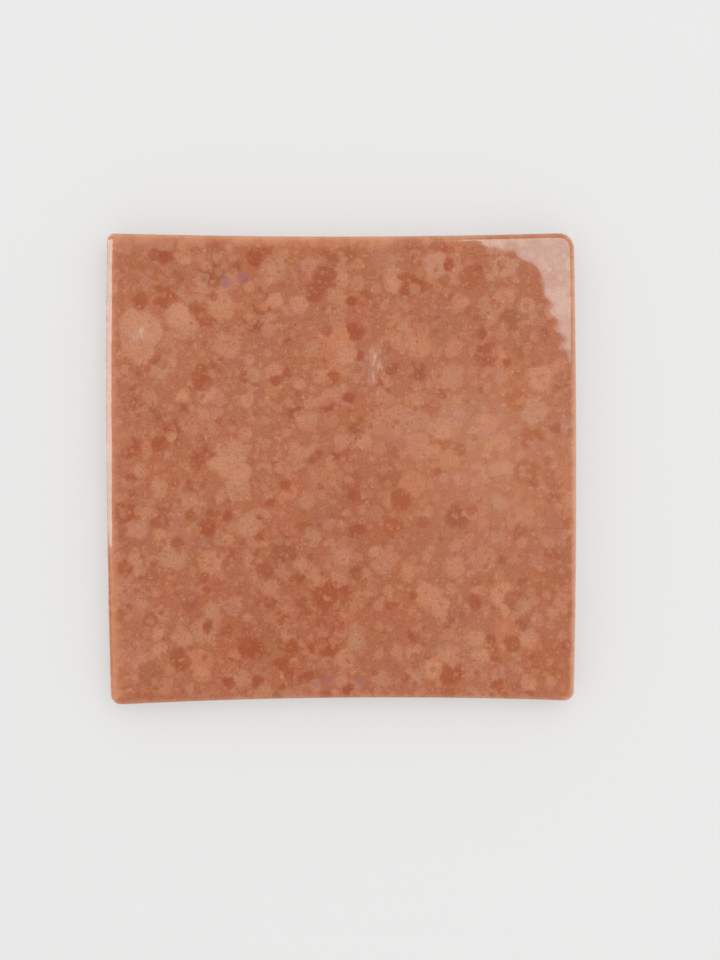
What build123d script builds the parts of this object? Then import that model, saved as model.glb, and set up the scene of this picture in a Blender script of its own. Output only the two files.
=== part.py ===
from build123d import *
from math import cos, pi, sin
import os

# One square glazed wall tile, pressed by hand and fired as one piece, lying face up.
# Frame: +Z leaves the glazed face, +Y points to the edge that is uppermost on a wall, and the
# origin is the middle of the bedding face, on its plane. All sizes are in millimetres.

# Body
tile_width = 130.0  # along X, from corner to corner
tile_length = 130.0  # along Y, from corner to corner
thickness = 10.0  # bedding face to the middle of the glazed face
bedding_edge_radius = 0.6  # worn edge round the bedding face

# Hand-pressed outline: how far the middle of each edge stands out from its chord
top_edge_bow = -1.0
bottom_edge_bow = -1.5
left_edge_bow = 0.7
right_edge_bow = 0.7

# Hand-pressed outline: how far each corner strays from the square, along X and Y, and how round it is
top_left_stray = (0.0, 0.3)
top_left_radius = 2.1
top_right_stray = (0.0, 0.4)
top_right_radius = 4.2
bottom_right_stray = (0.0, 0.2)
bottom_right_radius = 2.6
bottom_left_stray = (1.1, -1.0)
bottom_left_radius = 3.1

# Glazed face: nearly flat, rolled down towards the edges, with a slow hand-pressed ripple
cushion_drop = 0.45  # fall of the face from its middle to the middle of an edge
cushion_power = 10  # a higher power keeps more of the face flat
ripple_height = 0.1
ripple_length = 74.0
ripple_lean = 0.4  # how far the ripple's crests run off the tile's own directions
rolled_edge_radius = 1.6  # round edge between the face and the sides

# Bedding face: tapered grooves that key the tile to its adhesive
groove_width = 7.0
groove_pitch = 14.0
groove_depth = 1.0
groove_wall_angle = 25.0  # degrees from upright
groove_margin = 12.0  # plain border round the grooves

# How the curved face is sampled before a surface is laid through it
face_overhang = 4.0  # how far it reaches past the square on every side
face_samples = 37  # points along each side
face_tolerance = 0.005

half_width = tile_width / 2
half_length = tile_length / 2


def plan_outline():
    """The tile seen from the front: four bowed edges that meet in round corners, about the origin."""
    top_left = Vector(-half_width, half_length) + Vector(*top_left_stray)
    top_right = Vector(half_width, half_length) + Vector(*top_right_stray)
    bottom_right = Vector(half_width, -half_length) + Vector(*bottom_right_stray)
    bottom_left = Vector(-half_width, -half_length) + Vector(*bottom_left_stray)
    edges = Curve() + [
        SagittaArc(top_left, top_right, top_edge_bow),
        SagittaArc(top_right, bottom_right, right_edge_bow),
        SagittaArc(bottom_right, bottom_left, bottom_edge_bow),
        SagittaArc(bottom_left, top_left, left_edge_bow),
    ]
    outline = make_face(edges)
    rounded = [
        (top_left, top_left_radius),
        (top_right, top_right_radius),
        (bottom_right, bottom_right_radius),
        (bottom_left, bottom_left_radius),
    ]
    for corner, radius in rounded:
        outline = fillet(outline.vertices().sort_by_distance(corner)[0], radius)
    return Pos(-outline.bounding_box().center()) * outline


def face_height(x, y):
    """Height of the glazed face over the bedding face."""
    roll = abs(x / half_width) ** cushion_power + abs(y / half_length) ** cushion_power
    turn = 2 * pi / ripple_length
    ripple = sin(turn * (x + ripple_lean * y)) * cos(turn * (y - ripple_lean * x))
    return thickness - cushion_drop * roll - ripple_height * ripple


def glazed_face():
    """The curved front of the tile, as a surface that reaches past the outline on every side."""
    steps = [2 * i / (face_samples - 1) - 1 for i in range(face_samples)]
    across = [(half_width + face_overhang) * step for step in steps]
    along = [(half_length + face_overhang) * step for step in steps]
    points = [[(x, y, face_height(x, y)) for y in along] for x in across]
    return Face.make_surface_from_array_of_points(points, tol=face_tolerance)


def key_grooves():
    """Parallel grooves for the bedding face, with tapered walls and round ends."""
    groove_length = tile_width - 2 * groove_margin
    room = tile_length - 2 * groove_margin - groove_width
    count = int(room // groove_pitch) + 1
    mouths = GridLocations(tile_width, groove_pitch, 1, count) * SlotOverall(groove_length, groove_width)
    return [extrude(mouth, groove_depth, taper=groove_wall_angle) for mouth in mouths]


def tile():
    """The whole tile as one fired body."""
    blank = extrude(plan_outline(), thickness + cushion_drop)
    blank = fillet(blank.faces().sort_by(Axis.Z)[0].edges(), bedding_edge_radius)
    pressed = split(blank, glazed_face(), keep=Keep.BOTTOM)
    rolled = fillet(pressed.faces().sort_by(Axis.Z)[-1].edges(), rolled_edge_radius)
    return rolled - key_grooves()


os.makedirs("parts", exist_ok=True)
export_step(tile(), "parts/tile.step")
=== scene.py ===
import math

import bpy
import numpy as np
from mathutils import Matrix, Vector


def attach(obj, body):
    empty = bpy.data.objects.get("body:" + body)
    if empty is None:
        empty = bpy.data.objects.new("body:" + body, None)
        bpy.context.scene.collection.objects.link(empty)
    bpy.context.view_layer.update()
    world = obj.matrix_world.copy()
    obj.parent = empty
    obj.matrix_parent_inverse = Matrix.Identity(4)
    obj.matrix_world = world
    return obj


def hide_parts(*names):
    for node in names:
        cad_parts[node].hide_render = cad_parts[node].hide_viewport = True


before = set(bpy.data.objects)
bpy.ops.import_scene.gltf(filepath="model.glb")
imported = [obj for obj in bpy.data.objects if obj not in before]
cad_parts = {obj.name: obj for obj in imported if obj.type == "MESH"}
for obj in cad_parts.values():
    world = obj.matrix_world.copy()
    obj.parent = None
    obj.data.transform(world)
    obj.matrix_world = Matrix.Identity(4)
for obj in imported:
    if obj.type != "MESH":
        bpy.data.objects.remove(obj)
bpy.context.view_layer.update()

# Units: the tile's form and pattern are worked out in millimetres, and Blender's metres come last
MM = 0.001

# The tile's outline, as in the CAD: corners clockwise from the top left, with their radii, and edges
# clockwise from the top one, with how far the middle of each stands out from its chord
CORNERS = [(-65.0, 65.3), (65.0, 65.4), (65.0, -64.8), (-63.9, -66.0)]
CORNER_RADII = [2.1, 4.2, 2.6, 3.1]
EDGE_BOWS = [-1.0, 0.7, -1.5, 0.7]
HALF_SIDE = 65.0

# The glazed face, as in the CAD: nearly flat, rolled down towards the edges, with a slow ripple
THICKNESS = 10.0  # bedding face to the middle of the glazed face
CUSHION_DROP = 0.45
CUSHION_POWER = 10
RIPPLE_HEIGHT = 0.1
RIPPLE_LENGTH = 74.0
RIPPLE_LEAN = 0.4
ROLLED_RADIUS = 1.6  # round edge between the face and the sides

# The back, as in the CAD: a worn edge, and tapered grooves with round ends
BACK_RADIUS = 0.6
GROOVE_WIDTH = 7.0
GROOVE_PITCH = 14.0
GROOVE_COUNT = 8
GROOVE_DEPTH = 1.0
GROOVE_LENGTH = 106.0
GROOVE_WALL = 0.47  # width of a sloping wall, seen from below
GROOVE_LIP = 0.08  # how far the wall's edges are rounded to either side

# How finely the mesh is divided
SIDE_STEPS = 240  # along each edge, and so across the face
ROLL_STEPS = 9
WALL_STEPS = 11
BACK_ROLL_STEPS = 3
ARC_POINTS = 33  # round each corner, before the outline is spaced evenly
EDGE_POINTS = 120  # along each edge, before the outline is spaced evenly

# Lines of the back's grid
BACK_MARGIN = 3.0  # what the grid leaves free inside the square
BORDER_LINES = np.array([0.0, 3.0, 6.0])  # inwards from the grid's own border
WALL_LINES = np.array([-0.12, 0.0, 0.12, 0.24, 0.35, 0.47, 0.6])  # inwards from a groove's edge
FLOOR_LINES = np.array([-2.0, 0.0, 2.0])  # from the middle of a groove
MIDDLE_REACH = 48.0  # how far the even lines across the grooves reach to either side
MIDDLE_LINES = 60
END_OVERRUN = 0.4  # how far the close lines reach past a groove's round end
END_LINES = 14
OUTER_LINE = 57.5  # between the grooves' ends and the grid's border

# The glaze's own relief: wavelength range and slope of each set of waves
RELIEF = [((30.0, 70.0), 0.003), ((9.0, 18.0), 0.005), ((4.0, 7.0), 0.003)]
WAVES_IN_A_SET = 40
RELIEF_CREST = 0.083  # how far the highest wave stands over the glaze's mean level
RELIEF_SEED = 96

# Where the glaze ends on the sides
GLAZE_END = 1.7  # usual height over the bedding face
GLAZE_END_WAVES = (3, 5, 8, 13, 21, 34, 55, 89, 144)  # how many waves of each length run round the tile
GLAZE_END_SWING = 1 / 6  # how far the longest of them strays up and down
GLAZE_END_FALL = 0.25  # power of its length by which a shorter one strays less
GLAZE_SWELL = (-0.4, 0.3)  # from where to where, over its end, the glaze swells out from the clay
GLAZE_DEPTH = 0.18  # how far the bare clay lies behind the glaze

# Layout of the texture map: the face below, the four sides as strips above it, and the back on the right
MAP_SPAN = 132.0  # millimetres of the tile that fit across the face's square
MAP_FACE = 0.7  # side of the face's square
MAP_GAP = 0.005
MAP_STRIP = 0.07  # height of each side's strip
MAP_BACK = 0.28  # side of the back's square


def srgb(red, green, blue):
    """A colour given as 0 to 255, as Blender's linear values."""
    shares = [value / 255 for value in (red, green, blue)]
    return tuple(s / 12.92 if s <= 0.04045 else ((s + 0.055) / 1.055) ** 2.4 for s in shares) + (1.0,)


def smoothstep(low, high, value):
    """0 below low, 1 above high, and smooth between."""
    share = np.clip((value - low) / (high - low), 0, 1)
    return share * share * (3 - 2 * share)


# Form of the tile


def turn_left(vector):
    """The direction a quarter turn to the left, which is outwards along a clockwise outline."""
    return np.stack([-vector[..., 1], vector[..., 0]], axis=-1)


def unit(vector):
    """The same directions, as vectors of length 1."""
    return vector / np.linalg.norm(vector, axis=-1, keepdims=True)


def edge_points(index, t):
    """Points of one bowed edge and the edge's direction there, for shares t of its length."""
    start = np.array(CORNERS[index])
    along = np.array(CORNERS[(index + 1) % 4]) - start
    out = turn_left(unit(along)) * EDGE_BOWS[index]
    t = np.asarray(t, float)[..., None]
    return start + along * t + out * 4 * t * (1 - t), unit(along + out * 4 * (1 - 2 * t))


def along_curve(at, run, points):
    """Points of a curve, by how far along it they lie."""
    return np.stack([np.interp(at, run, points[:, axis]) for axis in (0, 1)], axis=-1)


def corner_arc(index):
    """Points of one round corner, from the edge before it to the edge after it, and the directions outwards
    there."""
    corner = np.array(CORNERS[index])
    before = edge_points(index - 1, 1.0)[1]
    after = edge_points(index, 0.0)[1]
    radius = CORNER_RADII[index]
    turn = math.acos(np.clip(before @ after, -1, 1))
    centre = corner - before * radius * math.tan(turn / 2) - turn_left(before) * radius
    first = math.atan2(*turn_left(before)[::-1])
    angles = first - turn * np.linspace(0, 1, ARC_POINTS)
    out = np.stack([np.cos(angles), np.sin(angles)], axis=-1)
    return centre + radius * out, out


def outline():
    """The tile's outline as evenly spaced points, clockwise from the middle of the top left corner, and the
    directions outwards."""
    places, outs = [], []
    for index in range(4):
        following = (index + 1) % 4
        first, first_out = corner_arc(index)
        last, last_out = corner_arc(following)
        half = ARC_POINTS // 2
        length = np.linalg.norm(np.subtract(CORNERS[following], CORNERS[index]))
        ends = CORNER_RADII[index], length - CORNER_RADII[following]
        edge, direction = edge_points(index, np.linspace(*ends, EDGE_POINTS)[1:-1] / length)
        points = np.concatenate([first[half:], edge, last[: half + 1]])
        out = np.concatenate([first_out[half:], turn_left(direction), last_out[: half + 1]])
        run = np.concatenate([[0], np.cumsum(np.linalg.norm(np.diff(points, axis=0), axis=1))])
        wanted = np.linspace(0, run[-1], SIDE_STEPS + 1)[:-1]
        places.append(along_curve(wanted, run, points))
        outs.append(unit(along_curve(wanted, run, out)))
    places = np.concatenate(places)
    middle = (places.min(axis=0) + places.max(axis=0)) / 2
    return places - middle, np.concatenate(outs)


def face_height(x, y):
    """Height of the pressed face, as in the CAD."""
    roll = np.abs(x / HALF_SIDE) ** CUSHION_POWER + np.abs(y / HALF_SIDE) ** CUSHION_POWER
    turn = 2 * math.pi / RIPPLE_LENGTH
    ripple = np.sin(turn * (x + RIPPLE_LEAN * y)) * np.cos(turn * (y - RIPPLE_LEAN * x))
    return THICKNESS - CUSHION_DROP * roll - RIPPLE_HEIGHT * ripple


def face_slope(places, outs):
    """How steeply the pressed face falls outwards at points on the plane."""
    step = 0.01
    ahead = places + outs * step
    return (face_height(*places.T) - face_height(*ahead.T)) / step


def glaze_relief(x, y):
    """Shallow waves that the melted glaze sets with. They lie wholly below the pressed face."""
    random = np.random.RandomState(RELIEF_SEED)
    height = np.full_like(x, -RELIEF_CREST)
    for (shortest, longest), slope in RELIEF:
        lengths = random.uniform(shortest, longest, WAVES_IN_A_SET)
        headings = random.uniform(0, 2 * math.pi, WAVES_IN_A_SET)
        phases = random.uniform(0, 2 * math.pi, WAVES_IN_A_SET)
        for length, heading, phase in zip(lengths, headings, phases):
            number = 2 * math.pi / length
            wave = np.cos(number * (x * math.cos(heading) + y * math.sin(heading)) + phase)
            height += slope / number * math.sqrt(2 / WAVES_IN_A_SET) * wave
    return height


def face_map(places):
    """Where points of the face lie on the texture map."""
    return MAP_GAP + (places / MAP_SPAN + 0.5) * MAP_FACE


def back_map(places):
    """Where points of the back lie on the texture map, as they are seen from below."""
    mirrored = places * (-1, 1)
    return (MAP_FACE + 2 * MAP_GAP, MAP_GAP) + (mirrored / MAP_SPAN + 0.5) * MAP_BACK


class Skin:
    """The tile's mesh as it grows: points, faces with their places on the texture map, and what the material
    needs to know at each point. Unfolded is its place with the sides folded out, reach is how far past the
    rim of the face it lies along the surface, and cover is how far above the glaze's end."""

    def __init__(self):
        self.points, self.faces, self.maps = [], [], []
        self.unfolded, self.reach, self.cover = [], [], []
        self.count = 0

    def add(self, points, unfolded, reach, cover):
        """Adds points, in millimetres, and returns their numbers."""
        size = len(points)
        self.points.append(points)
        self.unfolded.append(unfolded)
        self.reach.append(np.broadcast_to(reach, size))
        self.cover.append(np.broadcast_to(cover, size))
        self.count += size
        return np.arange(self.count - size, self.count)

    def quads(self, corners, point_map):
        """Faces given by four point numbers each, with the map's place for every point number."""
        self.faces += corners.tolist()
        self.maps.append(point_map[corners].reshape(-1, 2))

    def strip(self, upper, lower, upper_depth, lower_depth):
        """Faces between two closed rows of the sides, which run clockwise seen from above."""
        self.faces += np.stack([upper, np.roll(upper, -1), np.roll(lower, -1), lower], axis=-1).tolist()
        side, along = np.divmod(np.arange(len(upper)), SIDE_STEPS)
        across = MAP_GAP + np.stack([along, along + 1, along + 1, along], axis=-1) / SIDE_STEPS * MAP_FACE
        foot = MAP_FACE + 2 * MAP_GAP + side * MAP_STRIP
        depths = np.array([upper_depth, upper_depth, lower_depth, lower_depth]) / MAP_SPAN * MAP_FACE
        self.maps.append(np.stack([across, foot[:, None] + depths], axis=-1).reshape(-1, 2))

    def zip(self, outer, outer_share, inner, inner_share, point_map):
        """Triangles between two closed rows of the back, matched by the share of the way round."""
        first = len(self.faces)
        i = j = 0
        while i < len(outer) or j < len(inner):
            a, b = int(outer[i % len(outer)]), int(inner[j % len(inner)])
            next_outer = outer_share[i + 1] if i + 1 < len(outer) else 1 + (i + 1 > len(outer))
            next_inner = inner_share[j + 1] if j + 1 < len(inner) else 1 + (j + 1 > len(inner))
            if next_outer <= next_inner and i < len(outer):
                self.faces.append([a, int(outer[(i + 1) % len(outer)]), b])
                i += 1
            else:
                self.faces.append([a, int(inner[(j + 1) % len(inner)]), b])
                j += 1
        self.maps.append(point_map[np.array(self.faces[first:])].reshape(-1, 2))


def border(numbers):
    """The outermost numbers of a grid, clockwise from the top left."""
    return np.concatenate([numbers[:-1, -1], numbers[-1, :0:-1], numbers[:0:-1, 0], numbers[0, :-1]])


def face_grid(skin, rim):
    """The glazed face as a square grid that fills the rim, and the numbers of the points along the rim."""
    steps = np.arange(SIDE_STEPS + 1)
    column, row = np.meshgrid(steps, steps, indexing="ij")
    u, v = 2 * column / SIDE_STEPS - 1, 2 * row / SIDE_STEPS - 1
    size = np.maximum(np.abs(u), np.abs(v))
    safe = np.where(size == 0, 1, size)
    # For each edge, clockwise from the top one: progress along it, and the points that are nearest to it
    along = [u / safe, -v / safe, -u / safe, v / safe]
    nearest = [v >= size, u >= size, -v >= size, -u >= size]
    place = np.zeros(u.shape + (2,))
    closed = np.concatenate([rim, rim[:1]])
    for edge in (3, 2, 1, 0):
        at = edge * SIDE_STEPS + (along[edge] + 1) / 2 * SIDE_STEPS
        found = along_curve(at, np.arange(len(closed)), closed)
        place[nearest[edge]] = (found * size[..., None])[nearest[edge]]
    flat = place.reshape(-1, 2)
    points = np.column_stack([flat, face_height(*flat.T) + glaze_relief(*flat.T)])
    reach = (size - 1) * (HALF_SIDE - ROLLED_RADIUS)
    numbers = skin.add(points, flat, reach.ravel(), THICKNESS).reshape(size.shape)
    corners = np.stack([numbers[:-1, :-1], numbers[1:, :-1], numbers[1:, 1:], numbers[:-1, 1:]], axis=-1)
    skin.quads(corners.reshape(-1, 4), face_map(flat))
    return border(numbers)


def glaze_end_height(share):
    """Height over the bedding face at which the glaze stops, for shares of the way round the tile."""
    random = np.random.RandomState(RELIEF_SEED + 1)
    height = np.full_like(share, GLAZE_END)
    fewest = GLAZE_END_WAVES[0]
    for count in GLAZE_END_WAVES:
        wave = np.cos(2 * math.pi * (count * share + random.uniform()))
        height += GLAZE_END_SWING * wave * (fewest / count) ** GLAZE_END_FALL
    return height


def side_rows(rim, start):
    """Rows of the rolled edge, the upright sides and the worn edge round the back, from the top down: how
    far inside the outline each lies, and its height. Also the height of the middle of the rolled edge's
    arc, which starts at its own angle at each point of the rim."""
    centre = face_height(*rim.T) - ROLLED_RADIUS * np.cos(start)
    rows = []
    for step in range(ROLL_STEPS + 1):
        angle = start + (math.pi / 2 - start) * step / ROLL_STEPS
        rows.append((ROLLED_RADIUS * (1 - np.sin(angle)), centre + ROLLED_RADIUS * np.cos(angle)))
    for step in range(1, WALL_STEPS + 1):
        rows.append((np.zeros_like(centre), centre + (BACK_RADIUS - centre) * step / WALL_STEPS))
    for step in range(1, BACK_ROLL_STEPS + 1):
        angle = math.pi / 2 * step / BACK_ROLL_STEPS
        inset = np.full_like(centre, BACK_RADIUS * (1 - math.cos(angle)))
        rows.append((inset, np.full_like(centre, BACK_RADIUS * (1 - math.sin(angle)))))
    return rows, centre


def sides(skin, rim_numbers, rim, edge, outs, start):
    """All that lies between the face and the back. Returns the last row's numbers, and the share of the way
    round at which each of them lies."""
    share = np.arange(len(edge)) / len(edge)
    sunk = glaze_relief(*rim.T)
    glaze_end = glaze_end_height(share)
    rows, centre = side_rows(rim, start)
    above, (last_inset, last_height) = rim_numbers, rows[0]
    reach = np.zeros_like(centre)
    for inset, height in rows[1:]:
        last_reach = reach
        reach = reach + np.hypot(inset - last_inset, height - last_height)
        cover = height - glaze_end
        bare = 1 - smoothstep(*GLAZE_SWELL, cover)
        place = edge - outs * (inset + bare * GLAZE_DEPTH)[:, None]
        points = np.column_stack([place, height + sunk * smoothstep(0, 1, height / centre)])
        below = skin.add(points, rim + outs * reach[:, None], reach, cover)
        skin.strip(above, below, last_reach.mean(), reach.mean())
        above, last_inset, last_height = below, inset, height
    return above, share


def way_round(places):
    """Share of the way round, clockwise from the top left diagonal, by the side of the square that is
    nearest."""
    px, py = (places / np.max(np.abs(places), axis=1, keepdims=True)).T
    share = np.where(py >= 1, (px + 1) / 8, 0)
    share = np.where((px >= 1) & (py < 1), 0.25 + (1 - py) / 8, share)
    share = np.where((py <= -1) & (px < 1), 0.5 + (1 - px) / 8, share)
    return np.where((px <= -1) & (py > -1) & (py < 1), 0.75 + (py + 1) / 8, share)


def back_lines(centres, half_length, half_width):
    """Where the lines of the back's grid lie along X and Y. They are close at the edges of the grooves."""
    margin = HALF_SIDE - BACK_MARGIN
    walls = np.concatenate([WALL_LINES - half_width, half_width - WALL_LINES[::-1]])
    y_lines = [BORDER_LINES - margin, margin - BORDER_LINES]
    for centre in centres:
        y_lines += [centre + walls, centre + FLOOR_LINES, [centre - GROOVE_PITCH / 2]]
    middle = np.linspace(-MIDDLE_REACH, MIDDLE_REACH, MIDDLE_LINES)
    ends = np.linspace(half_length - half_width - END_OVERRUN, half_length + END_OVERRUN, END_LINES)
    outside = np.array([OUTER_LINE, margin])
    x_lines = np.concatenate([middle, ends, -ends, outside, -outside])
    return np.unique(x_lines), np.unique(np.round(np.concatenate(y_lines), 4))


def back(skin, outer, outer_share):
    """The bedding face with its keyed grooves, joined to the last row of the sides."""
    half_length, half_width = GROOVE_LENGTH / 2, GROOVE_WIDTH / 2
    centres = (np.arange(GROOVE_COUNT) - (GROOVE_COUNT - 1) / 2) * GROOVE_PITCH
    x, y = np.meshgrid(*back_lines(centres, half_length, half_width), indexing="ij")
    past_end = np.maximum(np.abs(x) - (half_length - half_width), 0)
    depth = np.zeros_like(x)
    for centre in centres:
        inside = half_width - np.hypot(past_end, y - centre)
        own = GROOVE_DEPTH * smoothstep(-GROOVE_LIP, GROOVE_WALL + GROOVE_LIP, inside)
        depth = np.maximum(depth, own)
    flat = np.stack([x.ravel(), y.ravel()], axis=-1)
    points = np.column_stack([flat, depth.ravel()])
    far_past_rim, below_glaze = 2 * THICKNESS, -THICKNESS
    numbers = skin.add(points, flat, far_past_rim, below_glaze).reshape(x.shape)
    places = np.concatenate(skin.points)[:, :2]
    corners = np.stack([numbers[:-1, :-1], numbers[:-1, 1:], numbers[1:, 1:], numbers[1:, :-1]], axis=-1)
    skin.quads(corners.reshape(-1, 4), back_map(places))
    inner = border(numbers)
    skin.zip(outer, outer_share, inner, way_round(places[inner]), back_map(places))


def build_tile():
    """The whole tile as one closed mesh."""
    skin = Skin()
    edge, outs = outline()
    start = np.arctan(face_slope(edge - outs * ROLLED_RADIUS, outs))
    rim = edge - outs * (ROLLED_RADIUS * (1 - np.sin(start)))[:, None]
    rim_numbers = face_grid(skin, rim)
    back(skin, *sides(skin, rim_numbers, rim, edge, outs, start))
    mesh = bpy.data.meshes.new("glazed_tile")
    mesh.from_pydata((np.concatenate(skin.points) * MM).tolist(), [], skin.faces)
    mesh.polygons.foreach_set("use_smooth", np.ones(len(mesh.polygons), bool))
    mesh.uv_layers.new(name="OFBake").data.foreach_set("uv", np.concatenate(skin.maps).ravel())
    unfolded, reach = np.concatenate(skin.unfolded), np.concatenate(skin.reach)
    store(mesh, "unfolded", np.column_stack([unfolded, np.zeros(len(unfolded))]), "FLOAT_VECTOR", "vector")
    store(mesh, "cover", np.concatenate(skin.cover))
    for name, values in glaze_marks(unfolded, reach).items():
        store(mesh, name, values)
    mesh.update()
    piece = bpy.data.objects.new("glazed_tile", mesh)
    bpy.context.scene.collection.objects.link(piece)
    return piece


def store(mesh, name, values, kind="FLOAT", field="value"):
    """Keeps one value for each point of the mesh, for the material to read."""
    attribute = mesh.attributes.new(name, kind, "POINT")
    attribute.data.foreach_set(field, np.asarray(values, np.float32).ravel())


# Marks of the glaze that have a place of their own

# Drops that stand out on the face: place from the middle of the face, and radius
DARK_DROPS = [
    (-48.5, 58.5, 1.9), (-55.5, 46.5, 2.1), (-40.5, 44.5, 1.8), (-35.5, 48.0, 1.3), (-38.5, 24.5, 3.0),
    (-39.0, 26.5, 2.5), (-24.0, 58.0, 1.9), (-21.0, 60.5, 1.6), (-7.0, 49.0, 2.8), (3.0, 46.5, 1.5),
    (4.0, 38.0, 2.5), (17.5, 49.5, 1.4), (14.0, 27.5, 1.8), (-15.0, 26.5, 1.5), (-18.0, 24.5, 1.6),
    (-50.5, 7.5, 1.9), (-50.5, 6.0, 1.7), (-40.0, 2.5, 2.5), (-41.5, -13.0, 1.8), (-31.5, -13.0, 1.4),
    (-45.5, -20.5, 1.8), (2.0, 19.5, 1.6), (-12.0, 19.5, 1.7), (-6.0, 4.0, 1.3), (3.5, -7.5, 1.6),
    (4.5, -17.0, 2.2), (-15.5, -4.5, 1.5), (-19.5, -9.5, 1.3), (28.0, 20.5, 1.3), (36.0, -11.5, 1.5),
    (26.5, -1.0, 1.3), (-44.5, -53.0, 3.0), (-26.0, -49.5, 3.0), (-31.5, -45.0, 1.6), (-21.0, -28.5, 2.3),
    (-11.5, -30.5, 1.4), (-4.5, -38.0, 2.0), (14.5, -38.0, 1.5), (0.0, -44.0, 1.5), (-16.5, -54.0, 1.8),
    (-14.5, -57.0, 1.7), (-10.5, -58.0, 1.4), (2.0, -61.0, 1.6), (37.0, -36.5, 1.9), (47.5, -48.5, 2.3),
    (41.5, -47.0, 1.4), (43.5, -60.0, 1.8), (28.5, 61.5, 1.2), (30.0, 56.5, 1.6), (-58.0, -7.0, 1.1),
    (-37.5, -30.5, 1.4), (-42.0, -4.5, 1.3), (-37.0, -16.0, 2.4), (16.5, -8.5, 2.8), (1.0, -33.5, 1.4),
    (20.0, -46.0, 1.4), (-37.0, -43.0, 1.3), (-5.0, -51.0, 1.2), (-23.0, -58.5, 1.4), (18.0, -58.0, 1.2),
    (-31.0, -59.0, 1.5), (-9.0, -39.5, 1.2), (-19.5, -37.5, 1.7), (-13.5, -24.5, 1.1), (20.0, -35.0, 1.0),
]
PALE_DROPS = [
    (-55.5, 38.5, 5.8), (-56.0, 35.5, 5.6), (-45.5, 42.0, 3.3), (-42.5, 40.0, 3.1), (-33.5, 45.5, 4.0),
    (17.5, 36.0, 3.6), (-29.5, 0.0, 4.5), (-31.0, 6.0, 3.3), (-9.0, 56.5, 2.3), (-18.0, 46.5, 2.2),
    (-11.5, 45.5, 2.5), (-1.0, 48.0, 2.4), (14.5, 51.0, 2.2), (45.5, 48.0, 2.4), (-47.0, 9.0, 1.7),
    (-26.0, 19.0, 1.8), (-3.5, 20.0, 2.4), (-11.0, 14.5, 1.8), (11.5, 15.5, 2.0), (6.5, 7.5, 2.1),
    (43.5, 0.0, 2.1), (27.5, 11.0, 3.2), (39.0, 13.5, 1.7), (-50.5, -5.5, 2.5), (-42.0, -8.5, 2.2),
    (-6.0, -31.0, 1.8), (18.5, -29.0, 2.1), (9.5, -23.0, 1.8), (-44.0, -46.5, 2.7), (37.5, -47.0, 2.3),
    (27.5, -38.5, 2.7), (30.5, -52.5, 2.2), (1.5, -52.5, 2.5), (-19.5, -33.0, 2.3), (-31.5, 34.0, 3.4),
    (2.0, 31.5, 2.5),
]
DROP_LOBES = [(2, 0.1), (3, 0.06), (5, 0.03)]  # how many a drop's outline has, and how far they stand out
DROP_DENSITY = (0.6, 1.0)  # range of how dense a drop's glaze is
NO_DROP = -5.0  # how far inside a drop the places lie that are far from all
DROP_SEED = 5

# Broad changes of tone over the face, darker towards the bottom and paler at the right: place, radius and
# tone
TONE_CLOUDS = [
    (6.5, -13.0, 13.0, -0.12), (-49.0, 6.5, 11.0, -0.05), (-28.0, -44.0, 22.0, -0.15),
    (5.0, -42.0, 20.0, -0.1), (44.0, 5.0, 22.0, 0.34), (34.5, -45.0, 12.0, 0.05), (-46.0, 38.0, 14.0, 0.12),
]

# Places where the drops have melted together more: place, radius and how much of the contrast is lost
CALM_AREAS = [(42.0, 2.0, 22.0, 0.35)]

# Bluish specks, and places with whitish strokes: place, radius and strength. The first three places with
# strokes make one whitish mark above the middle, and the last one is a cluster of painted glints
BLUISH_SPECKS = [
    (-32.0, 51.5, 1.1, 0.8), (-27.0, 53.0, 1.2, 0.7), (-7.0, -59.5, 1.0, 0.8), (-3.5, -58.0, 0.9, 0.7),
    (-8.5, -63.0, 0.9, 0.6), (5.5, -59.0, 0.9, 0.8), (-11.5, 56.0, 0.8, 0.7),
]
WHITISH_MARKS_AND_GLINTS = [(9.0, 31.5, 1.6, 1.0), (9.5, 28.5, 2.2, 1.0), (9.0, 25.0, 1.4, 1.0), (-55.8, 37.3, 2.3, 1.3)]

# How much paler the edges are painted, from 0 to 1. Painted light brightens the face towards the top and
# left edges, where the face slopes towards the light, and a painted reflection lies on the left rolled edge.
# Thin glaze lies on the rolled edge of every side, and this is partly painted light as well: it is strongest
# on the right edge, which catches the light. It changes over ranges of the reach past the face's rim
PAINTED_LIGHT_TOP, PAINTED_LIGHT_LEFT = 0.4, 0.65
PAINTED_LIGHT_START = (-2.6, 0.6)
PAINTED_LIGHT_LEFT_END = (0.0, 1.0)
PAINTED_LIGHT_TOP_END = (20.0, 45.0)  # along the top edge, from the middle of the face
THIN_ROLL_AND_PAINTED_LIGHT = {"top": 0.2, "right": 0.5, "bottom": 0.1, "left": 0.1}
THIN_ROLL_AND_PAINTED_LIGHT_START = (-0.4, 1.0)
THIN_GLAZE_AND_PAINTED_LIGHT_END = (2.4, 4.0)
SIDE_BLEND = (-3.0, -1.0)  # from the diagonals, where one side passes into the next


def nearest_drop(places, drops):
    """How far inside the nearest drop each place lies, in millimetres and below 0 outside the drops, and how
    dense that drop's glaze is."""
    random = np.random.RandomState(DROP_SEED)
    depth, density = np.full(len(places), NO_DROP), np.ones(len(places))
    for x, y, radius in drops:
        right, up = places[:, 0] - x, places[:, 1] - y
        turn = np.arctan2(up, right)
        lobes = np.zeros(len(places))
        for count, size in DROP_LOBES:
            lobes += size * np.cos(count * turn + random.uniform(0, 2 * math.pi))
        own = radius * (1 + lobes) - np.hypot(right, up)
        density = np.where(own > depth, random.uniform(*DROP_DENSITY), density)
        depth = np.maximum(depth, own)
    return depth, density


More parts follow.
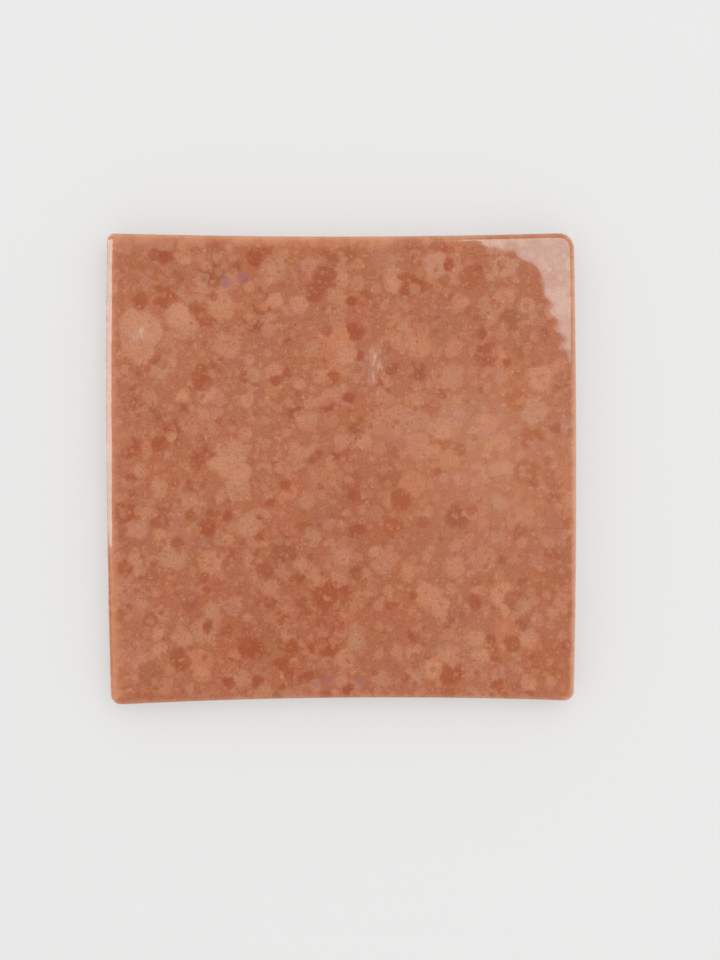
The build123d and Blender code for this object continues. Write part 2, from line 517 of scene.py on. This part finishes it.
def soft_spots(places, spots):
    """A sum of soft round spots, each given by its place, its radius and how strong it is at its middle."""
    total = np.zeros(len(places))
    for x, y, radius, strength in spots:
        total += strength * np.exp(-((places[:, 0] - x) ** 2 + (places[:, 1] - y) ** 2) / radius**2)
    return total


def on_side(along, across):
    """1 on the side of the square that lies in the first direction, and 0 on the others."""
    return smoothstep(*SIDE_BLEND, along - np.abs(across))


def thin_glaze_and_painted_light_at_edges(places, reach):
    """How much paler each point is painted, from 0 to 1: thin glaze on the rolled edges, with painted light
    and a painted reflection towards the top and left edges.
    """
    x, y = places.T
    on = {"top": on_side(y, x), "right": on_side(x, y), "bottom": on_side(-y, x), "left": on_side(-x, y)}
    # Painted light: the face made paler towards the top and left edges, where it slopes towards the light,
    # and a painted reflection on the left rolled edge
    painted_light_left = PAINTED_LIGHT_LEFT * on["left"] * (1 - smoothstep(*PAINTED_LIGHT_LEFT_END, reach))
    painted_light_top = PAINTED_LIGHT_TOP * on["top"] * (1 - smoothstep(*PAINTED_LIGHT_TOP_END, x))
    painted_light = smoothstep(*PAINTED_LIGHT_START, reach) * np.maximum(painted_light_top, painted_light_left)
    # Thin glaze on every rolled edge, partly painted light: strongest on the right edge, which catches the
    # light, and weakest on the bottom and left
    rolled_thin_and_painted_light = smoothstep(*THIN_ROLL_AND_PAINTED_LIGHT_START, reach) * sum(THIN_ROLL_AND_PAINTED_LIGHT[side] * on[side] for side in on)
    return (painted_light + rolled_thin_and_painted_light) * (1 - smoothstep(*THIN_GLAZE_AND_PAINTED_LIGHT_END, reach))


def glaze_marks(places, reach):
    """What the glaze is like at each point of the tile, and the light and glints painted on it, by the name
    that the material reads it by.
    """
    dark_drop, dark_density = nearest_drop(places, DARK_DROPS)
    pale_drop, pale_density = nearest_drop(places, PALE_DROPS)
    return {
        "dark_drop": dark_drop,
        "dark_density": dark_density,
        "pale_drop": pale_drop,
        "pale_density": pale_density,
        "cloud": soft_spots(places, TONE_CLOUDS),
        "bluish": soft_spots(places, BLUISH_SPECKS),
        "whitish_marks_and_glints": soft_spots(places, WHITISH_MARKS_AND_GLINTS),
        "calm": soft_spots(places, CALM_AREAS),
        "thin_glaze_and_painted_light": thin_glaze_and_painted_light_at_edges(places, reach),
    }


# Material of the tile


class Graph:
    """Short ways to add nodes to a tree. A value is a number, a colour or another node's output, and a
    node's inputs are given by name or by place."""

    def __init__(self, tree):
        self.tree = tree

    def feed(self, socket, value):
        if isinstance(value, bpy.types.NodeSocket):
            self.tree.links.new(value, socket)
        else:
            socket.default_value = value

    def node(self, kind, inputs=(), **settings):
        made = self.tree.nodes.new(kind)
        for name, value in settings.items():
            setattr(made, name, value)
        for name, value in dict(inputs).items():
            self.feed(made.inputs[name], value)
        return made

    def math(self, operation, *values, clamp=False):
        made = self.node("ShaderNodeMath", operation=operation, use_clamp=clamp)
        for socket, value in zip(made.inputs, values):
            self.feed(socket, value)
        return made.outputs[0]

    def vector_math(self, operation, *values):
        made = self.node("ShaderNodeVectorMath", operation=operation)
        for socket, value in zip(made.inputs, values):
            self.feed(socket, value)
        return made.outputs[0]

    def scale(self, vector, factor):
        return self.node("ShaderNodeVectorMath", {0: vector, "Scale": factor}, operation="SCALE").outputs[0]

    def mix(self, factor, a, b):
        return self.node("ShaderNodeMix", {0: factor, 2: a, 3: b}, data_type="FLOAT").outputs[0]

    def mix_color(self, factor, a, b, blend="MIX"):
        inputs = {0: factor, 6: a, 7: b}
        return self.node("ShaderNodeMix", inputs, data_type="RGBA", blend_type=blend).outputs[2]

    def attribute(self, name, output="Fac"):
        return self.node("ShaderNodeAttribute", attribute_name=name).outputs[output]

    def noise(self, position, scale, detail=2.0, roughness=0.5, output="Fac", dimensions="2D", seed=0.0):
        """Noise by the position in millimetres. Each seed takes it from another place."""
        moved = self.vector_math("ADD", position, (seed, 0.7 * seed, 0.3 * seed))
        inputs = {"Vector": moved, "Scale": scale, "Detail": detail, "Roughness": roughness}
        return self.node("ShaderNodeTexNoise", inputs, noise_dimensions=dimensions).outputs[output]

    def swing(self, noise, span):
        """A noise made to swing about 0, by half a span to either side."""
        return self.math("MULTIPLY_ADD", noise, span, -span / 2)

    def step(self, value, low, high):
        """0 below low, 1 above high, and smooth between."""
        inputs = {"Value": value, "From Min": low, "From Max": high}
        return self.node("ShaderNodeMapRange", inputs, interpolation_type="SMOOTHSTEP").outputs[0]

    def ramp(self, value, stops):
        made = self.node("ShaderNodeValToRGB", {"Fac": value})
        elements = made.color_ramp.elements
        while len(elements) < len(stops):
            elements.new(0.5)
        for element, (place, color) in zip(elements, stops):
            element.position = place
            element.color = color
        return made.outputs["Color"]

    def show(self, shader, kind="ShaderNodeOutputMaterial"):
        """Makes a shader node what the whole tree gives."""
        self.node(kind, {"Surface": shader.outputs[0]})


def new_material(name):
    """An empty material, and the graph of its nodes."""
    material = bpy.data.materials.new(name)
    material.use_nodes = True
    material.node_tree.nodes.clear()
    return material, Graph(material.node_tree)


# Scattered drops: ranges of a drop's size and softness, as shares of what is usual for its layer
DROP_SIZES = (0.45, 1.0)
DROP_SOFTNESS = (0.6, 1.5)
DROP_DISORDER = 0.75  # how far drops stray from an even grid
HUE_STRIDE = 7.3  # what makes another random number of a drop's chance


def drops_group():
    """A node group that scatters round drops. Cover is 1 inside a drop, and Chance and Hue are the drop's
    own random numbers."""
    tree = bpy.data.node_groups.new("scattered_drops", "ShaderNodeTree")
    tree.interface.new_socket("Position", in_out="INPUT", socket_type="NodeSocketVector")
    for name in ("Spacing", "Largest", "Softness", "Share", "Seed"):
        tree.interface.new_socket(name, in_out="INPUT", socket_type="NodeSocketFloat")
    for name in ("Cover", "Chance", "Hue"):
        tree.interface.new_socket(name, in_out="OUTPUT", socket_type="NodeSocketFloat")
    graph = Graph(tree)
    given = graph.node("NodeGroupInput").outputs
    apart = graph.math("DIVIDE", 1.0, given["Spacing"])
    cells = graph.vector_math("ADD", graph.scale(given["Position"], apart), given["Seed"])
    voronoi = graph.node(
        "ShaderNodeTexVoronoi",
        {"Vector": cells, "Scale": 1.0, "Randomness": DROP_DISORDER},
        voronoi_dimensions="2D",
        feature="F1",
    )
    chances = graph.node("ShaderNodeSeparateColor", {"Color": voronoi.outputs["Color"]}).outputs
    radius = graph.math("MULTIPLY", given["Largest"], graph.mix(chances[1], *DROP_SIZES))
    distance = graph.math("MULTIPLY", voronoi.outputs["Distance"], given["Spacing"])
    softness = graph.math("MULTIPLY", given["Softness"], graph.mix(chances[0], *DROP_SOFTNESS))
    inside = graph.math("DIVIDE", graph.math("SUBTRACT", radius, distance), softness)
    there = graph.math("LESS_THAN", chances[2], given["Share"])
    results = {
        "Cover": graph.math("MULTIPLY", graph.step(inside, -0.5, 0.5), there),
        "Chance": chances[0],
        "Hue": graph.math("FRACT", graph.math("MULTIPLY", chances[0], HUE_STRIDE)),
    }
    graph.node("NodeGroupOutput", results)
    return tree


# Layers of scattered drops, in the order they lie: spacing, largest radius, softness, share of the places
# that are taken, tone from -1, darkest, to 1, palest, and strength
DROP_LAYERS = [
    ("broad pale puddles", 17.0, 6.5, 3.0, 0.45, 0.35, 0.5),
    ("broad dark puddles", 19.0, 6.5, 3.5, 0.45, -0.35, 0.45),
    ("pale puddles", 10.0, 3.9, 1.6, 0.45, 0.65, 0.7),
    ("dark puddles", 11.0, 3.7, 1.6, 0.4, -0.7, 0.7),
    ("large pale drops", 6.4, 2.4, 1.0, 0.4, 0.6, 0.6),
    ("pale drops", 4.4, 1.7, 0.8, 0.42, 0.5, 0.55),
    ("dark drops", 6.8, 1.9, 1.0, 0.28, -0.75, 0.6),
    ("more pale drops", 4.1, 1.4, 0.7, 0.35, 0.45, 0.5),
    ("small pale drops", 2.6, 1.0, 0.5, 0.42, 0.45, 0.5),
    ("small dark drops", 3.6, 1.0, 0.6, 0.25, -0.55, 0.55),
]
SPECK_LAYERS = [
    ("tiny pale drops", 1.9, 0.7, 0.45, 0.35, 0.45, 0.3),
    ("tiny dark drops", 2.2, 0.65, 0.45, 0.3, -0.5, 0.3),
    # Pale specks, partly painted glints
    ("pale specks and painted glints", 1.4, 0.4, 0.35, 0.18, 0.9, 0.45),
    ("dark specks", 1.5, 0.4, 0.35, 0.22, -0.6, 0.4),
]
DROP_LAYERS_SEED, SPECK_LAYERS_SEED = 31.7, 413.0
LAYER_SEED_STEP = 31.7
LAYER_TONES = (0.5, 1.4)  # range of a drop's tone, as a share of its layer's
DROP_WOBBLE = 1.7  # how far the drops are pulled out of round

# Drops with a place of their own: tone and warmth, and how softly they end
LANDMARKS = [("pale", 0.57, 0.6), ("dark", -0.74, 0.65)]
LANDMARK_SOFTNESS = 0.65

GROUND_TONE = -0.1
TONE_CONTRAST = 0.61

# Noises that make the glaze uneven, by the position in millimetres, and how far each is felt
STRAY_NOISE = {"scale": 0.35, "output": "Color"}  # pulls the drops out of round
WARMTH_NOISE = {"scale": 0.06, "seed": 160.0}
RAGGED_NOISE = {"scale": 0.45, "detail": 1.5, "seed": 40.0}  # edges of the drops with a place of their own
RAGGED_SWING = 1.4
DENSITY_NOISE = {"scale": 0.3, "detail": 3.0, "roughness": 0.6, "seed": 80.0}  # how dense those drops are
DENSITY_SPAN, DENSITY_LEAST = 1.2, 0.3
GRAIN_NOISE = {"scale": 1.8, "detail": 3.0, "roughness": 0.7, "seed": 120.0}
GRAIN_SWING = 1.5
TINT_NOISE = {"scale": 0.16, "detail": 3.0, "roughness": 0.6, "seed": 280.0}
TINT_CHANGE = (0.3, 0.7)
STROKE_NOISE = {"scale": 0.9, "seed": 200.0}  # whitish strokes of those places, the painted glints among them
STROKE_STRETCH = (1.4, 0.45, 1.0)
STROKE_EDGES = (0.48, 0.66)
STROKE_DENSITY = (0.2, 0.75)  # between the strokes and in them
PATCH_NOISE = {"scale": 0.3, "seed": 240.0}  # patches of the thin glaze and of the painted light along the edges
PATCH_DENSITY = (0.5, 1.5)
END_NOISE = {"scale": 1.2}  # ragged line between glaze and clay
END_SWING = 0.6
END_SOFTNESS = 0.08

# Colours of the glaze from the darkest tone to the palest, where it is duller and where it is warmer
DULL_TONES = [(155, 85, 62), (163, 98, 73), (175, 115, 89), (185, 129, 103), (196, 145, 120)]
WARM_TONES = [(167, 84, 53), (175, 97, 64), (187, 113, 80), (198, 128, 94), (208, 143, 111)]
GOLDEN_TINT = (0.995, 1.016, 0.963, 1.0)
PINKISH_TINT = (1.005, 0.984, 1.037, 1.0)
BLUISH_COLOR = srgb(160, 108, 116)
# Whitish strokes, which are painted glints in one place
WHITISH_MARKS_AND_GLINTS_COLOR = srgb(216, 170, 150)
# Paler edges: thin glaze, and painted light and reflection
THIN_GLAZE_AND_PAINTED_LIGHT_COLOR = srgb(220, 152, 114)
GLAZE_ROUGHNESS = 0.05

# The bare clay
CLAY_TONES = [(0.3, srgb(188, 160, 130)), (0.55, srgb(207, 181, 152)), (0.75, srgb(219, 198, 172))]
CLAY_ROUGHNESS = 0.75
CLAY_GRAIN = 0.15  # depth of its grain
CLAY_CLOUD_NOISE = {"scale": 0.06, "detail": 4.0, "roughness": 0.6, "dimensions": "3D"}
CLAY_GRAIN_NOISE = {"scale": 2.2, "detail": 3.0, "roughness": 0.6, "dimensions": "3D"}
CLAY_CLOUD_SHARE, CLAY_GRAIN_SHARE = 0.6, 0.4


def tone_ramp(graph, level, tones):
    """A colour for each level from 0 to 1, by tones that are evenly spaced."""
    return graph.ramp(level, [(index / (len(tones) - 1), srgb(*tone)) for index, tone in enumerate(tones)])


def scatter(graph, place, layers, group, seed, tone, warmth):
    """Lays layers of scattered drops over a tone and a warmth."""
    for step, (name, spacing, largest, softness, share, layer_tone, strength) in enumerate(layers):
        inputs = {
            "Position": place,
            "Spacing": spacing,
            "Largest": largest,
            "Softness": softness,
            "Share": share,
            "Seed": seed + LAYER_SEED_STEP * step,
        }
        layer = graph.node("ShaderNodeGroup", inputs, label=name, node_tree=group).outputs
        own_tone = graph.math("MULTIPLY", layer_tone, graph.mix(layer["Chance"], *LAYER_TONES))
        covered = graph.math("MULTIPLY", layer["Cover"], strength)
        tone = graph.mix(covered, tone, own_tone)
        warmth = graph.mix(covered, warmth, layer["Hue"])
    return tone, warmth


def landmarks(graph, place, tone, warmth):
    """Lays the drops that have a place of their own over a tone and a warmth."""
    ragged = graph.swing(graph.noise(place, **RAGGED_NOISE), RAGGED_SWING)
    uneven = graph.math("MULTIPLY_ADD", graph.noise(place, **DENSITY_NOISE), DENSITY_SPAN, DENSITY_LEAST)
    for name, drop_tone, drop_warmth in LANDMARKS:
        depth = graph.math("ADD", graph.attribute(name + "_drop"), ragged)
        inside = graph.step(depth, -LANDMARK_SOFTNESS, LANDMARK_SOFTNESS)
        dense = graph.math("MULTIPLY", graph.attribute(name + "_density"), uneven, clamp=True)
        covered = graph.math("MULTIPLY", inside, dense)
        tone = graph.mix(covered, tone, drop_tone)
        warmth = graph.mix(covered, warmth, drop_warmth)
    return tone, warmth


def mottling(graph, place):
    """Tone and warmth of the glaze: drops of paler and darker glaze that have melted together, and grain."""
    stray = graph.vector_math("SUBTRACT", graph.noise(place, **STRAY_NOISE), (0.5, 0.5, 0.5))
    wobbly = graph.vector_math("ADD", place, graph.scale(stray, DROP_WOBBLE))
    drops = drops_group()
    tone, warmth = GROUND_TONE, graph.noise(place, **WARMTH_NOISE)
    tone, warmth = scatter(graph, wobbly, DROP_LAYERS, drops, DROP_LAYERS_SEED, tone, warmth)
    tone, warmth = landmarks(graph, place, tone, warmth)
    tone, warmth = scatter(graph, wobbly, SPECK_LAYERS, drops, SPECK_LAYERS_SEED, tone, warmth)
    grain = graph.swing(graph.noise(place, **GRAIN_NOISE), GRAIN_SWING)
    lively = graph.math("SUBTRACT", 1.0, graph.attribute("calm"))
    tone = graph.math("MULTIPLY", graph.math("ADD", tone, grain), lively)
    return graph.math("ADD", tone, graph.attribute("cloud")), warmth


def glaze_color(graph, place):
    """The mottled terracotta glaze, with bluish specks, whitish strokes and painted glints. Its paler edges
    are partly thin glaze and partly painted light.
    """
    tone, warmth = mottling(graph, place)
    level = graph.math("MULTIPLY_ADD", tone, TONE_CONTRAST, 0.5, clamp=True)
    dull, warm = tone_ramp(graph, level, DULL_TONES), tone_ramp(graph, level, WARM_TONES)
    color = graph.mix_color(warmth, dull, warm)
    tint = graph.step(graph.noise(place, **TINT_NOISE), *TINT_CHANGE)
    color = graph.mix_color(1.0, color, graph.mix_color(tint, GOLDEN_TINT, PINKISH_TINT), "MULTIPLY")
    color = graph.mix_color(graph.attribute("bluish"), color, BLUISH_COLOR)
    # Whitish strokes: one whitish mark, and a cluster of painted glints
    stretched = graph.vector_math("MULTIPLY", place, STROKE_STRETCH)
    strokes = graph.step(graph.noise(stretched, **STROKE_NOISE), *STROKE_EDGES)
    dense = graph.mix(strokes, *STROKE_DENSITY)
    whitish_marks_and_glints = graph.math("MULTIPLY", graph.attribute("whitish_marks_and_glints"), dense, clamp=True)
    color = graph.mix_color(whitish_marks_and_glints, color, WHITISH_MARKS_AND_GLINTS_COLOR)
    # Paler edges, partly thin glaze and partly painted light
    patchy = graph.mix(graph.noise(place, **PATCH_NOISE), *PATCH_DENSITY)
    return graph.mix_color(graph.math("MULTIPLY", graph.attribute("thin_glaze_and_painted_light"), patchy), color, THIN_GLAZE_AND_PAINTED_LIGHT_COLOR)


def clay_color(graph):
    """The bare fired clay of the back and of the foot of the sides, and its grain."""
    place = graph.scale(graph.node("ShaderNodeTexCoord").outputs["Object"], 1 / MM)
    clouds = graph.noise(place, **CLAY_CLOUD_NOISE)
    grain = graph.noise(place, **CLAY_GRAIN_NOISE)
    cloud_shade = graph.math("MULTIPLY", clouds, CLAY_CLOUD_SHARE)
    grain_shade = graph.math("MULTIPLY", grain, CLAY_GRAIN_SHARE)
    return graph.ramp(graph.math("ADD", cloud_shade, grain_shade), CLAY_TONES), grain


def tile_material():
    """Glaze on clay, with a ragged line between them low on the sides."""
    material, graph = new_material("mottled_glaze_on_clay")
    place = graph.attribute("unfolded", "Vector")
    ragged = graph.swing(graph.noise(place, **END_NOISE), END_SWING)
    cover = graph.math("ADD", graph.attribute("cover"), ragged)
    glazed = graph.step(cover, -END_SOFTNESS, END_SOFTNESS)
    glaze = glaze_color(graph, place)
    clay, grain = clay_color(graph)
    bare = graph.math("SUBTRACT", 1.0, glazed)
    bump = graph.node("ShaderNodeBump", {"Height": grain, "Distance": CLAY_GRAIN * MM, "Strength": bare})
    surface = graph.node("ShaderNodeBsdfPrincipled", {
        "Base Color": graph.mix_color(glazed, clay, glaze),
        "Roughness": graph.mix(glazed, CLAY_ROUGHNESS, GLAZE_ROUGHNESS),
        "Normal": bump.outputs[0],
    })
    graph.show(surface)
    return material


# Stage, light and camera

WHITE = srgb(255, 255, 255)
FLOOR_SIZE = 200.0
FLOOR_COLOR = srgb(231, 231, 230)
FLOOR_FADE = (0.5, 3.0)  # from where to where the floor fades into the studio
FLOOR_GLOW = 0.4  # how far it has faded at the tile
STUDIO_LIGHT = 0.875  # what falls on surfaces from all around
STUDIO_BRIGHTNESS = 0.82  # what is seen of the studio near the horizon
STUDIO_TOP_BRIGHTNESS = 0.02  # what is seen of it overhead
STUDIO_FADE = (0.2, 0.9)  # from where to where it darkens upwards

# Lamps in metres: place, what they face, width, height, radiance and colour
ON_TILE = (0.0, 0.0, 0.0)
SOFTBOX_LIGHT, VEIL_LIGHT = (1.0, 1.0, 1.0), (0.78, 1.0, 1.0)
LEFT_LIGHT, RIGHT_LIGHT = (0.7, 1.0, 1.04), (0.75, 1.0, 1.0)
KEY_SOFTBOX = ((0.35, 0.42, 1.5), ON_TILE, 1.4, 1.2, 1.25, SOFTBOX_LIGHT)
WINDOWS = [
    ("veil_window", "ELLIPSE", (0.358, 0.384, 1.284), ON_TILE, 0.55, 0.4, 5.6, VEIL_LIGHT),
    ("left_window", "RECTANGLE", (-0.923, 0.195, 0.652), (-0.038, 0.195, 0.0), 0.52, 1.594, 7.0, LEFT_LIGHT),
    ("left_low_window", "RECTANGLE", (-0.2, 0.03, 0.001), (-0.2, 0.03, 1.0), 0.26, 0.22, 2.5, LEFT_LIGHT),
    ("right_window", "RECTANGLE", (0.98, -0.1, 0.69), ON_TILE, 0.8, 1.64, 0.95, RIGHT_LIGHT),
    ("right_low_window", "RECTANGLE", (0.2, 0.0, 0.001), (0.2, 0.0, 1.0), 0.26, 0.3, 0.8, RIGHT_LIGHT),
]


def seen_in_glaze(graph):
    """1 for what the glaze mirrors, and 0 for all else."""
    path = graph.node("ShaderNodeLightPath").outputs
    return graph.math("ADD", path["Is Glossy Ray"], path["Is Transmission Ray"], clamp=True)


def seen_by_camera(graph):
    """1 for what the camera sees itself, and 0 for all else."""
    return graph.node("ShaderNodeLightPath").outputs["Is Camera Ray"]


def add_floor():
    """A pale floor that takes the tile's shadow, and far from it fades into the studio."""
    bpy.ops.mesh.primitive_plane_add(size=FLOOR_SIZE)
    floor = bpy.context.object
    floor.name = "floor"
    material, graph = new_material("pale_floor")
    matt = graph.node("ShaderNodeBsdfDiffuse", {"Color": FLOOR_COLOR})
    bright = graph.node("ShaderNodeEmission", {"Color": WHITE, "Strength": STUDIO_BRIGHTNESS})
    place = graph.node("ShaderNodeTexCoord").outputs["Object"]
    away = graph.node("ShaderNodeVectorMath", {0: place}, operation="LENGTH").outputs["Value"]
    far = graph.mix(graph.step(away, *FLOOR_FADE), FLOOR_GLOW, 1.0)
    faded = graph.math("MULTIPLY_ADD", far, seen_by_camera(graph), seen_in_glaze(graph))
    graph.show(graph.node("ShaderNodeMixShader", {0: faded, 1: matt.outputs[0], 2: bright.outputs[0]}))
    floor.data.materials.append(material)


def add_lamp(name, shape, place, target, width, height, radiance, color):
    """A flat lamp of even brightness, turned to a target."""
    lamp = bpy.data.lights.new(name, "AREA")
    lamp.shape = shape
    lamp.size, lamp.size_y = width, height
    lamp.color = color
    filled = math.pi / 4 if shape == "ELLIPSE" else 1.0
    lamp.energy = radiance * math.pi * width * height * filled
    holder = bpy.data.objects.new(name, lamp)
    holder.location = place
    holder.rotation_euler = (Vector(target) - Vector(place)).to_track_quat("-Z", "Y").to_euler()
    holder.visible_camera = False
    bpy.context.scene.collection.objects.link(holder)
    return holder


def add_lights():
    """One softbox that lights the surfaces, and windows that only show as their images in the glaze."""
    softbox = add_lamp("key_softbox", "ELLIPSE", *KEY_SOFTBOX)
    softbox.visible_glossy = False
    for name, shape, *settings in WINDOWS:
        add_lamp(name, shape, *settings).visible_diffuse = False


def add_world():
    """A pale studio: what the camera and the glaze see of it is bright near the horizon."""
    world = bpy.data.worlds.new("studio")
    world.use_nodes = True
    world.node_tree.nodes.clear()
    graph = Graph(world.node_tree)
    direction = graph.node("ShaderNodeTexCoord").outputs["Generated"]
    upward = graph.node("ShaderNodeSeparateXYZ", {"Vector": direction}).outputs["Z"]
    seen = graph.mix(graph.step(upward, *STUDIO_FADE), STUDIO_BRIGHTNESS, STUDIO_TOP_BRIGHTNESS)
    direct = graph.math("ADD", seen_by_camera(graph), seen_in_glaze(graph))
    strength = graph.mix(direct, STUDIO_LIGHT, seen)
    background = graph.node("ShaderNodeBackground", {"Color": WHITE, "Strength": strength})
    graph.show(background, "ShaderNodeOutputWorld")
    bpy.context.scene.world = world


# The photograph's framing, in pixels: where the tile's middle falls in the picture, and how large a
# millimetre is there
PICTURE_WIDTH, PICTURE_HEIGHT = 720, 960
TILE_MIDDLE_X, TILE_MIDDLE_Y = 340.9, 468.8
PIXELS_PER_MM = 3.612
CAMERA_DISTANCE = 450.0  # from the glazed face
SENSOR_HEIGHT = 36.0


def add_camera():
    """A camera that looks straight down on the face, with the photograph's framing."""
    camera = bpy.data.cameras.new("camera")
    camera.sensor_fit = "VERTICAL"
    camera.sensor_height = SENSOR_HEIGHT
    camera.lens = SENSOR_HEIGHT * CAMERA_DISTANCE * PIXELS_PER_MM / PICTURE_HEIGHT
    viewer = bpy.data.objects.new("camera", camera)
    right = (PICTURE_WIDTH / 2 - TILE_MIDDLE_X) / PIXELS_PER_MM
    up = (TILE_MIDDLE_Y - PICTURE_HEIGHT / 2) / PIXELS_PER_MM
    viewer.location = Vector((right, up, CAMERA_DISTANCE + THICKNESS)) * MM
    bpy.context.scene.collection.objects.link(viewer)
    bpy.context.scene.camera = viewer


tile = build_tile()
tile.data.materials.append(tile_material())
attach(tile, "root")
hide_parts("tile")

add_floor()
add_lights()
add_world()
add_camera()
bpy.context.scene.view_settings.view_transform = "Standard"
